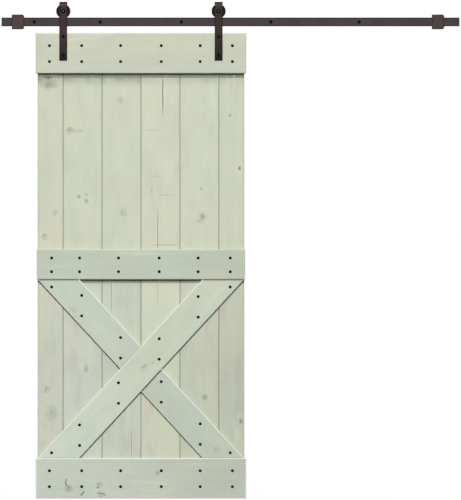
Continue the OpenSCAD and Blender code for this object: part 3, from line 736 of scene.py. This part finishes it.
def relief(piece, across, along):
    # depth below the sawn face: slow waves of the plane, a dip at each knot, a groove at each split
    seed = piece["seed"]
    (slowAcross, slowAlong), (crossAcross, crossAlong) = planeWaves["slow"], planeWaves["cross"]
    slow = np.sin(across * slowAcross + seed) * np.sin(along * slowAlong + 2 * seed)
    cross = np.sin(across * crossAcross + along * crossAlong - seed)
    depth = plankRelief["wave"] * (slow + planeWaves["crossShare"] * cross)
    for centre, height, radius, stretch, strength, ring in piece["marks"]["knots"]:
        far = np.hypot((across - centre) / radius, (along - height) / (radius * stretch))
        rings = 1 + dipRings["share"] * np.cos(far * dipRings["pace"])
        depth = depth + plankRelief["knotDip"] * strength * np.exp(-far * far) * rings
    for centre, start, end, width, strength in piece["marks"]["splits"]:
        wander = sum(reach * np.sin(along * pace + seed) for pace, reach in splitLook["waves"])
        run = (along - start) / (end - start)
        closing = (run - splitLook["closes"]) / (1 - splitLook["closes"])
        opened = smoothStep(run / splitLook["opens"]) * (1 - smoothStep(closing))
        groove = np.exp(-(((across - centre - wander) / width) ** 2))
        depth = depth + plankRelief["splitDip"] * strength * opened * groove
    return np.maximum(depth, 0) + plankRelief["skin"]


def gridLines(low, high, step, extra=()):
    # evenly spaced lines, joined by closer ones where an edge or a mark needs them
    count = max(3, int(round((high - low) / step)) + 1)
    extra = np.array([value for value in extra if low < value < high])
    even = np.linspace(low, high, count)
    if len(extra):
        near = np.min(np.abs(even[:, None] - extra[None, :]), axis=1)
        even = even[(near > plankStep["clear"] * step) | (even == low) | (even == high)]
    lines = np.unique(np.round(np.concatenate([even, extra]), 7))
    return lines[np.concatenate([[True], np.diff(lines) > plankStep["least"]])]


def edgeLines(low, high, radius):
    # lines over the quarter round of both edges: inset = r * (1 - cos(turn))
    turn = np.linspace(0, math.pi / 2, plankStep["ease"] + 1)
    inset = radius * (1 - np.cos(turn))
    return np.concatenate([low + inset, high - inset])


def splitLines(piece):
    return [mark[0] + mark[3] * share for mark in piece["marks"]["splits"] for share in splitSpread]


def makeMesh(name, points, faces, sharp=32):
    mesh = bpy.data.meshes.new(name)
    mesh.from_pydata(points.reshape(-1, 3).tolist(), [], faces)
    mesh.update()
    mesh.shade_smooth()
    mesh.set_sharp_from_angle(angle=math.radians(sharp))
    piece = bpy.data.objects.new(name, mesh)
    bpy.context.scene.collection.objects.link(piece)
    return piece


def gridFaces(rows, columns, closedColumns=False, flip=False):
    # quads between neighbouring lines of a grid of points
    across = np.arange(columns if closedColumns else columns - 1)
    r, c = np.meshgrid(np.arange(rows - 1), across, indexing="ij")
    here, above, beside = r * columns, (r + 1) * columns, (c + 1) % columns
    quads = np.stack([here + c, above + c, above + beside, here + beside], -1).reshape(-1, 4)
    return (quads[:, ::-1] if flip else quads).tolist()


def finishWood(name, points, faces):
    piece = makeMesh(name + "_wood", points, faces)
    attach(piece, "door")
    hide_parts(name)
    piece.data.materials.append(woodFinish(name))


def eased(distance):
    # drop of a rounded edge: r - sqrt(r^2 - (r - d)^2) within r of the edge
    inside = np.clip(railEase - distance, 0, railEase)
    return railEase - np.sqrt(np.maximum(railEase**2 - inside**2, 0))


def slab(name, acrossLines, runLines, start, end, easeEnds):
    # a plank on the boards, over across lines u and runs v from start(u) to end(u):
    # height(u, v) = thickness - eased edge - relief
    piece = woodPieces[name]
    low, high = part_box(name)
    thick = high.y - low.y
    u = acrossLines[:, None] + 0 * runLines[None, :]
    first, last = start(acrossLines)[:, None], end(acrossLines)[:, None]
    v = first + (last - first) * runLines[None, :]
    drop = eased(np.minimum(u - acrossLines[0], acrossLines[-1] - u))
    if easeEnds:
        drop = np.maximum(drop, eased(np.minimum(v - first, last - v)))
    flat = drop < 1e-7
    height = thick - drop - np.where(flat, relief(piece, u, v), plankRelief["skin"])
    place = piece["centre"] + u[..., None] * piece["across"] + v[..., None] * piece["along"]
    front = np.stack([place[..., 0], boardFront - height, place[..., 1]], -1)
    rows, columns = u.shape  # the grid's outline, once round, is set back onto the boards
    lower, upper = np.arange(columns), (rows - 1) * columns + np.arange(columns - 2, -1, -1)
    right, left = np.arange(1, rows) * columns + columns - 1, np.arange(rows - 2, 0, -1) * columns
    ring = np.concatenate([lower, right, upper, left])
    back = front.reshape(-1, 3)[ring].copy()
    back[:, 1] = boardFront
    behind = rows * columns + np.arange(len(ring))
    walls = np.stack([behind, np.roll(behind, -1), np.roll(ring, -1), ring], -1)
    faces = gridFaces(rows, columns, flip=True) + walls.tolist() + [behind.tolist()]
    finishWood(name, np.concatenate([front.reshape(-1, 3), back]), faces)


def rail(name):
    # every run goes from one end of the rail to the other, with closer lines at edges and splits
    halfTall, halfWide = woodPieces[name]["half"]
    marks = [*edgeLines(-halfTall, halfTall, railEase), *splitLines(woodPieces[name])]
    across = gridLines(-halfTall, halfTall, plankStep["across"], marks)
    along = gridLines(-halfWide, halfWide, plankStep["along"], edgeLines(-halfWide, halfWide, railEase))
    runs = (along + halfWide) / (2 * halfWide)
    slab(name, across, runs, lambda u: 0 * u - halfWide, lambda u: 0 * u + halfWide, True)


def brace(name):
    # each end lies on a line of the door's face, a level or the long brace's edge, so v there is linear in u
    piece = woodPieces[name]
    half = braceWidth / 2
    across = gridLines(-half, half, plankStep["across"], edgeLines(-half, half, railEase))
    ahead, aside = piece["along"], piece["across"]
    square = np.array([-math.sin(braceRise), math.cos(braceRise)])  # square to the long brace, up to the left

    def level(height):
        return lambda u: (height - u * aside[1]) / ahead[1]

    def butt(side):
        return lambda u: (side * (half + woodGap) - u * float(aside @ square)) / float(ahead @ square)

    start, end = {
        "long_brace": (level(-braceTall / 2), level(braceTall / 2)),
        "upper_brace": (butt(1), level(braceTall / 2)),
        "lower_brace": (level(-braceTall / 2), butt(-1)),
    }[name]
    length = float(np.max(end(across) - start(across)))
    slab(name, across, np.linspace(0, 1, int(length / plankStep["along"])), start, end, False)


for name in ("top_rail", "middle_rail", "bottom_rail"):
    rail(name)
for name in ("long_brace", "upper_brace", "lower_brace"):
    brace(name)
print("rails and braces sawn")


def tonguedBoard(name):
    # closed profile (front face, tongue or plain edge, back, groove or plain edge) carried up the board
    piece = woodPieces[name]
    low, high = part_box(name)
    first, last = name == "board_1", name == "board_6"
    left, right = low.x, high.x - (0 if last else boardShape["tongueLong"])
    front, back = low.y, high.y
    middle, half = (front + back) / 2, boardShape["tongue"] / 2
    slot, deep = half + boardShape["slack"] / 2, left + boardShape["tongueLong"] + boardShape["slack"]
    leftBevel = boardShape["outerBevel" if first else "bevel"]
    rightBevel = boardShape["outerBevel" if last else "bevel"]
    centre = piece["centre"][0]
    marks = np.array(splitLines(piece)) + centre
    face = gridLines(left + leftBevel, right - rightBevel, plankStep["across"], marks)
    tip = high.x
    tongue = [(right, middle - half), (tip, middle - half), (tip, middle + half), (right, middle + half)]
    groove = [(left, middle + slot), (deep, middle + slot), (deep, middle - slot), (left, middle - slot)]
    rear = np.linspace(right - rightBevel, left + leftBevel, boardShape["backLines"])
    edge = [(right, front + rightBevel), *([] if last else tongue), (right, back - rightBevel)]
    edge += [(value, back) for value in rear]
    edge += [(left, back - leftBevel), *([] if first else groove), (left, front + leftBevel)]
    edge = np.array(edge)
    x = np.concatenate([face, edge[:, 0]])
    y = np.concatenate([np.full(len(face), front), edge[:, 1]])
    z = gridLines(low.z, high.z, plankStep["along"])
    points = np.stack(np.broadcast_arrays(x[None, :], y[None, :], z[:, None]), -1)
    points[:, : len(face), 1] += relief(piece, face[None, :] - centre, z[:, None] - piece["centre"][1])
    rows, columns = len(z), len(x)
    ends = [np.arange(columns)[::-1].tolist(), ((rows - 1) * columns + np.arange(columns)).tolist()]
    finishWood(name, points, gridFaces(rows, columns, closedColumns=True, flip=True) + ends)


for k in range(1, 7):
    tonguedBoard("board_%d" % k)
print("boards planed and jointed")

# steel: colours, gloss, pebble and the dark rim painted as shade along its edges
coats = {
    "bar": {"colour": (66, 56, 57), "rough": 0.5, "specular": 0.12, "pebble": 0.12, "rim": 0.85},
    "stop": {"colour": (74, 59, 60), "rough": 0.5, "specular": 0.12, "pebble": 0.12, "rim": 0.6},
    "leftStrap": {"colour": (63, 47, 49), "rough": 0.38, "specular": 0.08, "pebble": 0.12, "rim": 0.6},
    "rightStrap": {"colour": (58, 48, 43), "rough": 0.38, "specular": 0.08, "pebble": 0.12, "rim": 0.6},
    "bolt": {"colour": (4, 3, 3), "rough": 0.22, "specular": 0.1, "pebble": 0, "rim": 0},
    "screw": {"colour": (2, 2, 2), "rough": 0.26, "specular": 0.1, "pebble": 0, "rim": 0},
    "axle": {"colour": (16, 7, 8), "rough": 0.34, "specular": 0.06, "pebble": 0, "rim": 0},
    "wheel": {"colour": (28, 19, 20), "rough": 0.45, "specular": 0.08, "pebble": 0.05, "rim": 0},
    "bearing": {"colour": (186, 187, 190), "rough": 0.24, "specular": 0.5, "pebble": 0, "rim": 0, "metal": 1},
}
# shares of the colour in dark and light smears and in the rim of painted shade, the rim's width, where smears
# begin and are full, the swing of roughness with them, and the pebble's depth
coatWearAndRimShade = {
    "dark": 0.88, "light": 1.12, "rim": 0.12, "band": 6.5 * mm, "smear": (0.35, 0.65), "swing": 0.05,
    "pebble": 0.2 * mm,
}
# a strap's ends, painted darker as shade: distances from its foot or its crown over which a dark share
# changes, and the share
strapEnds = {
    "colour": (8, 8, 3), "foot": (20 * mm, 130 * mm, 0.62), "tip": (10 * mm, 30 * mm, 0.3),
    "crown": (8 * mm, 4 * mm, 0.85),
}
# a painted highlight on the axle bolt's head: its colour, where it is full and where it ends
axleHighlight = {"colour": (108, 86, 92), "full": 3 * mm, "edge": 5 * mm}


def solidBox(name):
    # points and box of a solid in its own measures, which its material's Object coordinates use
    co = np.empty(len(nodes[name].data.vertices) * 3, np.float32)
    nodes[name].data.vertices.foreach_get("co", co)
    co = co.reshape(-1, 3).astype(float)
    return co, co.min(axis=0), co.max(axis=0)


def dimEnds(colour, height, low, high):
    # paints shade on a strap: darker slowly towards its foot, and more quickly at its tip and its crown
    (footNear, footFar, foot), (tipNear, tipFar, tip) = strapEnds["foot"], strapEnds["tip"]
    crownFar, crownNear, crown = strapEnds["crown"]
    dim = ramp(height, low + footNear, low + footFar, foot, 0.0, False)
    dim = calc("ADD", dim, ramp(height, low + tipNear, low + tipFar, tip, 0.0))
    dim = calc("MAXIMUM", dim, ramp(height, high - crownFar, high - crownNear, 0.0, crown))
    return blendColour(dim, colour, linear(*strapEnds["colour"]))


def paintAxleHighlight(colour, parts, middle):
    # a painted highlight: a round lighter spot in the middle of a bolt's head
    x, z = minus(parts["X"], middle[0]), minus(parts["Z"], middle[2])
    away = calc("SQRT", squares(x, z))
    spot = ramp(away, axleHighlight["full"], axleHighlight["edge"], 1.0, 0.0)
    return blendColour(spot, colour, linear(*axleHighlight["colour"]))


def coatFinish(kind, seed, box=None, endShade=False, spot=False):
    # box gives the dark rim of painted shade its outline, endShade paints shade on both ends, spot paints a
    # highlight in the middle of a bolt's head
    values = coats[kind]
    material, tree, shader = newMaterial(kind)
    place = tree.nodes.new("ShaderNodeTexCoord").outputs["Object"]
    wearAndHighlight = useGroup(coat, Vector=place, Seed=seed)
    base = np.array(linear(*values["colour"])[:3])
    dark, light = (*(base * coatWearAndRimShade["dark"]), 1), (*np.minimum(base * coatWearAndRimShade["light"], 1), 1)
    colour = blendColour(ramp(wearAndHighlight["Smear"], *coatWearAndRimShade["smear"], 0.0, 1.0), dark, light)
    if box is not None:
        low, high = box
        middle, half = (low + high) / 2, (high - low) / 2
        parts = axesOf(place)
        # the dark rim along the outline is painted shade
        if values["rim"]:
            edge = useGroup(rim, Vector=place, Centre=middle, Half=half, Band=coatWearAndRimShade["band"])["Mask"]
            edge = times(edge, values["rim"])
            colour = blendColour(edge, colour, (*(base * coatWearAndRimShade["rim"]), 1))
        if endShade:
            colour = dimEnds(colour, parts["Z"], low[2], high[2])
        if spot:
            colour = paintAxleHighlight(colour, parts, middle)
    slick, dull = values["rough"] - coatWearAndRimShade["swing"], values["rough"] + coatWearAndRimShade["swing"]
    setInputs(shader, {
        "Base Color": colour,
        "Roughness": ramp(wearAndHighlight["Smear"], *coatWearAndRimShade["smear"], slick, dull),
        "Metallic": values.get("metal", 0.0),
        "Specular IOR Level": values["specular"],
    })
    if values["pebble"]:
        pebble = {"Height": wearAndHighlight["Pebble"], "Strength": values["pebble"], "Distance": coatWearAndRimShade["pebble"]}
        setInputs(shader, {"Normal": put("ShaderNodeBump", pebble).outputs[0]})
    return material


# on each side of the door, the parts that share a coat, and how far sharp edges are rounded
coatedParts = {
    "bolt": ("stop_set_screws", "retaining_ring", "axle_nut", "strap_bolts", "strap_washers", "strap_nuts"),
    "bearing": ("bearing_outer_ring", "bearing_inner_ring", "bearing_balls", "bearing_cage", "axle_bushes"),
    "wheel": ("wheel",),
}
roundedParts = {"stop": 0.8 * mm, "strap_nuts": 0.5 * mm, "axle_nut": 0.5 * mm}
rounding = {"join": 0.001 * mm, "segments": 2, "corner": 35}
coatSeeds = {"bar": 0.0, "bolt": 3.1, "screw": 6.2, "wheel": 9.3, "bearing": 12.4}
ownSeeds = {"track": 2.3, "stop": 5.7, "strap": 8.2, "axle": 1.2}  # on the right, one more


def dress(name, material):
    nodes[name].material_slots[0].material = material


def softenEdges(name, width):
    # joins the loose faces of a solid and rounds its sharp edges
    nodes[name].modifiers.new("join", "WELD").merge_threshold = rounding["join"]
    bevel = nodes[name].modifiers.new("round", "BEVEL")
    bevel.width = width
    bevel.segments = rounding["segments"]
    bevel.limit_method = "ANGLE"
    bevel.angle_limit = math.radians(rounding["corner"])


plain = {kind: coatFinish(kind, seed) for kind, seed in coatSeeds.items()}
dress("track", coatFinish("bar", ownSeeds["track"], solidBox("track")[1:]))
for k in range(1, 6):
    dress("spacer_%d" % k, plain["bar"])
for k, side in enumerate(sides):
    stop, strap, axle = side + "_stop", side + "_strap", side + "_axle_bolt"
    dress(stop, coatFinish("stop", ownSeeds["stop"] + k, solidBox(stop)[1:]))
    dress(strap, coatFinish(side + "Strap", ownSeeds["strap"] + k, solidBox(strap)[1:], endShade=True))
    dress(axle, coatFinish("axle", ownSeeds["axle"] + k, solidBox(axle)[1:], spot=True))
    for kind, parts in coatedParts.items():
        for part in parts:
            dress(side + "_" + part, plain[kind])
    for part, width in roundedParts.items():
        softenEdges(side + "_" + part, width)
print("steel coated")

# screws, in millimetres: profile rings from the floor of the socket out over the dome, turned about the axis
woodScrew = {
    "head": 14, "rise": 2.0, "rim": 0.8, "socket": 4.2, "floor": 0.9, "shank": 4.2, "long": 32, "facets": 24,
}
wallScrew = {
    "head": 16, "rise": 5.0, "rim": 0.8, "socket": 6.4, "floor": 2.25, "shank": 8, "long": 41, "facets": 36,
}
# a thread: a ridge with a flat crest and two flanks, that fades in and out over the lengths given
wallThread = {
    "core": 3.15, "crest": 3.95, "pitch": 2.8, "long": 45, "tip": 7.2, "perTurn": 8, "flat": 1.6,
    "flank": 5.2, "fadeIn": 2.0, "fadeOut": 3.0,
}
# shares of the socket's and of the head's size at which rings lie, and how far the socket's lip drops
headEdge = {"floor": 0.98, "lip": 1.06, "lipDrop": 0.12, "dome": (1.1, 0.985), "domeRings": 6, "rim": 0.8}


def headRings(shape, turn):
    # radius and height of each ring: a hexagon in the socket, circles elsewhere, on a dome of one radius
    flat = shape["socket"] / 2 * math.cos(math.pi / 6)
    hexagon = flat / np.cos((turn + math.pi / 6) % (math.pi / 3) - math.pi / 6)
    half, rise, edge = shape["head"] / 2, shape["rise"], shape["rim"]
    dome = (half**2 + (rise - edge) ** 2) / (2 * (rise - edge))
    level = 0 * turn
    lip = hexagon * headEdge["lip"]

    def height(radius):
        return np.sqrt(dome**2 - radius**2) - dome + rise

    rings = [(level, level + shape["floor"]), (hexagon * headEdge["floor"], level + shape["floor"])]
    rings += [(hexagon, height(hexagon) - headEdge["lipDrop"]), (lip, height(lip))]
    inner, outer = headEdge["dome"]
    for radius in np.linspace(hexagon.max() * inner, half * outer, headEdge["domeRings"]):
        rings.append((level + radius, height(level + radius)))
    rings += [(level + half, level + edge * headEdge["rim"]), (level + half, level)]
    return rings + [(level + shape["shank"] / 2, level)]


def threadRings(shape, thread, turn):
    # radius = core + (crest - core) * ridge(s / pitch - turn / 2 pi), fading in and out at the thread's ends
    level = 0 * turn
    lines = np.arange(0, thread["long"], thread["pitch"] / thread["perTurn"])
    phase = (lines[:, None] / thread["pitch"] - turn[None, :] / (2 * math.pi)) % 1
    ridge = np.clip(thread["flat"] - np.abs(phase - 0.5) * thread["flank"], 0, 1)
    left = thread["long"] - lines
    fade = np.clip(np.minimum(lines / thread["fadeIn"], left / thread["fadeOut"]), 0, 1)[:, None]
    radii = thread["core"] + (thread["crest"] - thread["core"]) * ridge * fade
    end = shape["long"] + thread["long"]
    rings = [(level + shape["shank"] / 2, level - shape["long"])]
    rings += list(zip(radii, level[None, :] - shape["long"] - lines[:, None]))
    return rings + [(level + thread["core"], level - end), (level, level - end - thread["tip"])]


def pointRings(shape, turn):
    # a plain shank that ends in a cone
    half, level = shape["shank"] / 2, 0 * turn - shape["long"]
    return [(0 * turn + half, level + 2 * half), (0 * turn, level)]


def turnScrews(name, shape, thread, body):
    # one screw's surface at every axis; each solid ends in one point, so the deepest points give the axes
    co, low, high = solidBox(name)
    axes = np.unique(np.round(co[co[:, 1] > high[1] - 0.01 * mm][:, [0, 2]], 5), axis=0)
    turn = np.linspace(0, 2 * math.pi, shape["facets"], endpoint=False)
    rings = headRings(shape, turn)
    rings += threadRings(shape, thread, turn) if thread else pointRings(shape, turn)
    radius = np.array([ring[0] for ring in rings]) * mm
    height = np.array([ring[1] for ring in rings]) * mm
    face = low[1] + shape["rise"] * mm
    one = np.stack([radius * np.cos(turn), face - height, radius * np.sin(turn)], -1)
    shift = np.stack([axes[:, 0], 0 * axes[:, 0], axes[:, 1]], -1)
    points = one.reshape(1, -1, 3) + shift[:, None, :]
    quads = np.array(gridFaces(one.shape[0], one.shape[1], closedColumns=True))
    first = np.arange(len(axes)) * one.shape[0] * one.shape[1]
    faces = (quads[None] + first[:, None, None]).reshape(-1, 4)
    piece = makeMesh(name + "_turned", points, faces.tolist(), sharp=40)
    work = bmesh.new()  # joins the points that meet on the axes and sets every face outwards
    work.from_mesh(piece.data)
    bmesh.ops.remove_doubles(work, verts=work.verts, dist=rounding["join"])
    bmesh.ops.recalc_face_normals(work, faces=work.faces)
    work.to_mesh(piece.data)
    work.free()
    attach(piece, body)
    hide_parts(name)
    piece.data.materials.append(plain["bolt" if thread else "screw"])


for name in ("top_rail_screws", "middle_rail_screws", "bottom_rail_screws", "brace_screws"):
    turnScrews(name, woodScrew, None, "door")
turnScrews("wall_screws", wallScrew, wallThread, "track")
print("screws turned")

# room: a pale floor just under the door, white to the camera but for the door's shadow, and a low sky; the
# shadow runs out between near and far from the line of the door's foot
room = {
    "floorGap": 12 * mm, "west": -2.6, "east": 2.8, "front": -2.2, "back": 1.6, "grey": 0.3, "rough": 0.9,
    "paper": 0.95, "sky": 0.1, "shadowShare": 0.08, "halfFoot": 0.4, "near": 0.25, "far": 1.1,
}


def seenRay(tree):
    # 1 for what the camera sees, also in metal and through glass
    rays = tree.nodes.new("ShaderNodeLightPath").outputs
    shown = calc("MAXIMUM", rays["Is Camera Ray"], rays["Is Glossy Ray"])
    return calc("MAXIMUM", shown, rays["Is Transmission Ray"])


def litBackground():
    world = bpy.data.worlds.new("studio")
    world.use_nodes = True
    tree = world.node_tree
    strength = scaled(seenRay(tree), 1.0 - room["sky"], room["sky"])
    setInputs(tree.nodes["Background"], {"Color": (1, 1, 1, 1), "Strength": strength})
    bpy.context.scene.world = world


def paleFloor():
    # a flat sheet: grey in the light that it throws back, white where it is seen but for the shadow
    level = doorBottom - room["floorGap"]
    west, east, front, back = (room[edge] for edge in ("west", "east", "front", "back"))
    corners = np.array([[west, front, level], [east, front, level], [east, back, level], [west, back, level]])
    floor = makeMesh("floor", corners, [[0, 1, 2, 3]])
    material, tree, shader = newMaterial("pale floor")
    grey, paper = ((room[tone],) * 3 + (1,) for tone in ("grey", "paper"))
    setInputs(shader, {"Base Color": grey, "Roughness": room["rough"], "Specular IOR Level": 0.0})
    shaded = setInputs(tree.nodes.new("ShaderNodeBsdfDiffuse"), {"Color": paper}).outputs[0]
    bright = {"Color": (1, 1, 1, 1), "Strength": 1.0}
    white = setInputs(tree.nodes.new("ShaderNodeEmission"), bright).outputs[0]
    place = axesOf(tree.nodes.new("ShaderNodeTexCoord").outputs["Object"])
    wide = calc("ABSOLUTE", minus(place["X"], doorMiddle))
    sideways = calc("MAXIMUM", minus(wide, room["halfFoot"]), 0.0)
    away = calc("SQRT", squares(sideways, place["Y"]))
    share = ramp(away, room["near"], room["far"], 1.0 - room["shadowShare"], 1.0)
    shown = put("ShaderNodeMixShader", {0: share, 1: shaded, 2: white}).outputs[0]
    mixed = put("ShaderNodeMixShader", {0: seenRay(tree), 1: shader.outputs[0], 2: shown}).outputs[0]
    setInputs(tree.nodes["Material Output"], {"Surface": mixed})
    floor.data.materials.append(material)


lamps = {
    "key": {"at": (-0.75, -27.0, 14.0), "aim": (-0.25, 0, -1.0), "size": (6.2, 6.2), "watts": 8480},
    "back": {"at": (0.5, 16.0, 7.5), "aim": (-0.25, 0, -1.0), "size": (5.0, 5.0), "watts": 1700},
    "top": {"at": (-0.25, -3.0, 6.0), "aim": (-0.25, -0.1, -0.8), "size": (2.4, 0.9), "watts": 30},
}


def hangLamp(name):
    # a rectangle of light, turned until it faces its aim
    values = lamps[name]
    light = bpy.data.lights.new(name, "AREA")
    light.shape = "RECTANGLE"
    light.energy = values["watts"]
    light.size, light.size_y = values["size"]
    lamp = bpy.data.objects.new(name, light)
    bpy.context.scene.collection.objects.link(lamp)
    at, aim = np.array(values["at"]), np.array(values["aim"])
    ahead = (aim - at) / np.linalg.norm(aim - at)
    lamp.location = at
    lamp.rotation_euler = (math.acos(-ahead[2]), 0, math.atan2(ahead[1], ahead[0]) - math.pi / 2)


# camera square to the door: the photograph's middle is this point, one of its pixels is this size there, and
# it is this many pixels tall
lens = {
    "middle": (155.2 * mm, -52 * mm, -1046.2 * mm), "pixel": 4.585 * mm, "tall": 500, "away": 30.0,
    "film": 36, "farthest": 100,
}


def standCamera():
    data = bpy.data.cameras.new("camera")
    data.sensor_width = lens["film"]
    data.sensor_fit = "AUTO"
    data.lens = lens["film"] * lens["away"] / (lens["tall"] * lens["pixel"])
    data.clip_end = lens["farthest"]
    camera = bpy.data.objects.new("camera", data)
    x, y, z = lens["middle"]
    camera.location = (x, y - lens["away"], z)
    camera.rotation_euler = (math.pi / 2, 0, 0)
    bpy.context.scene.collection.objects.link(camera)
    bpy.context.scene.camera = camera


litBackground()
paleFloor()
for name in lamps:
    hangLamp(name)
standCamera()
bpy.context.scene.view_settings.view_transform = "Standard"
print("room lit and camera set")
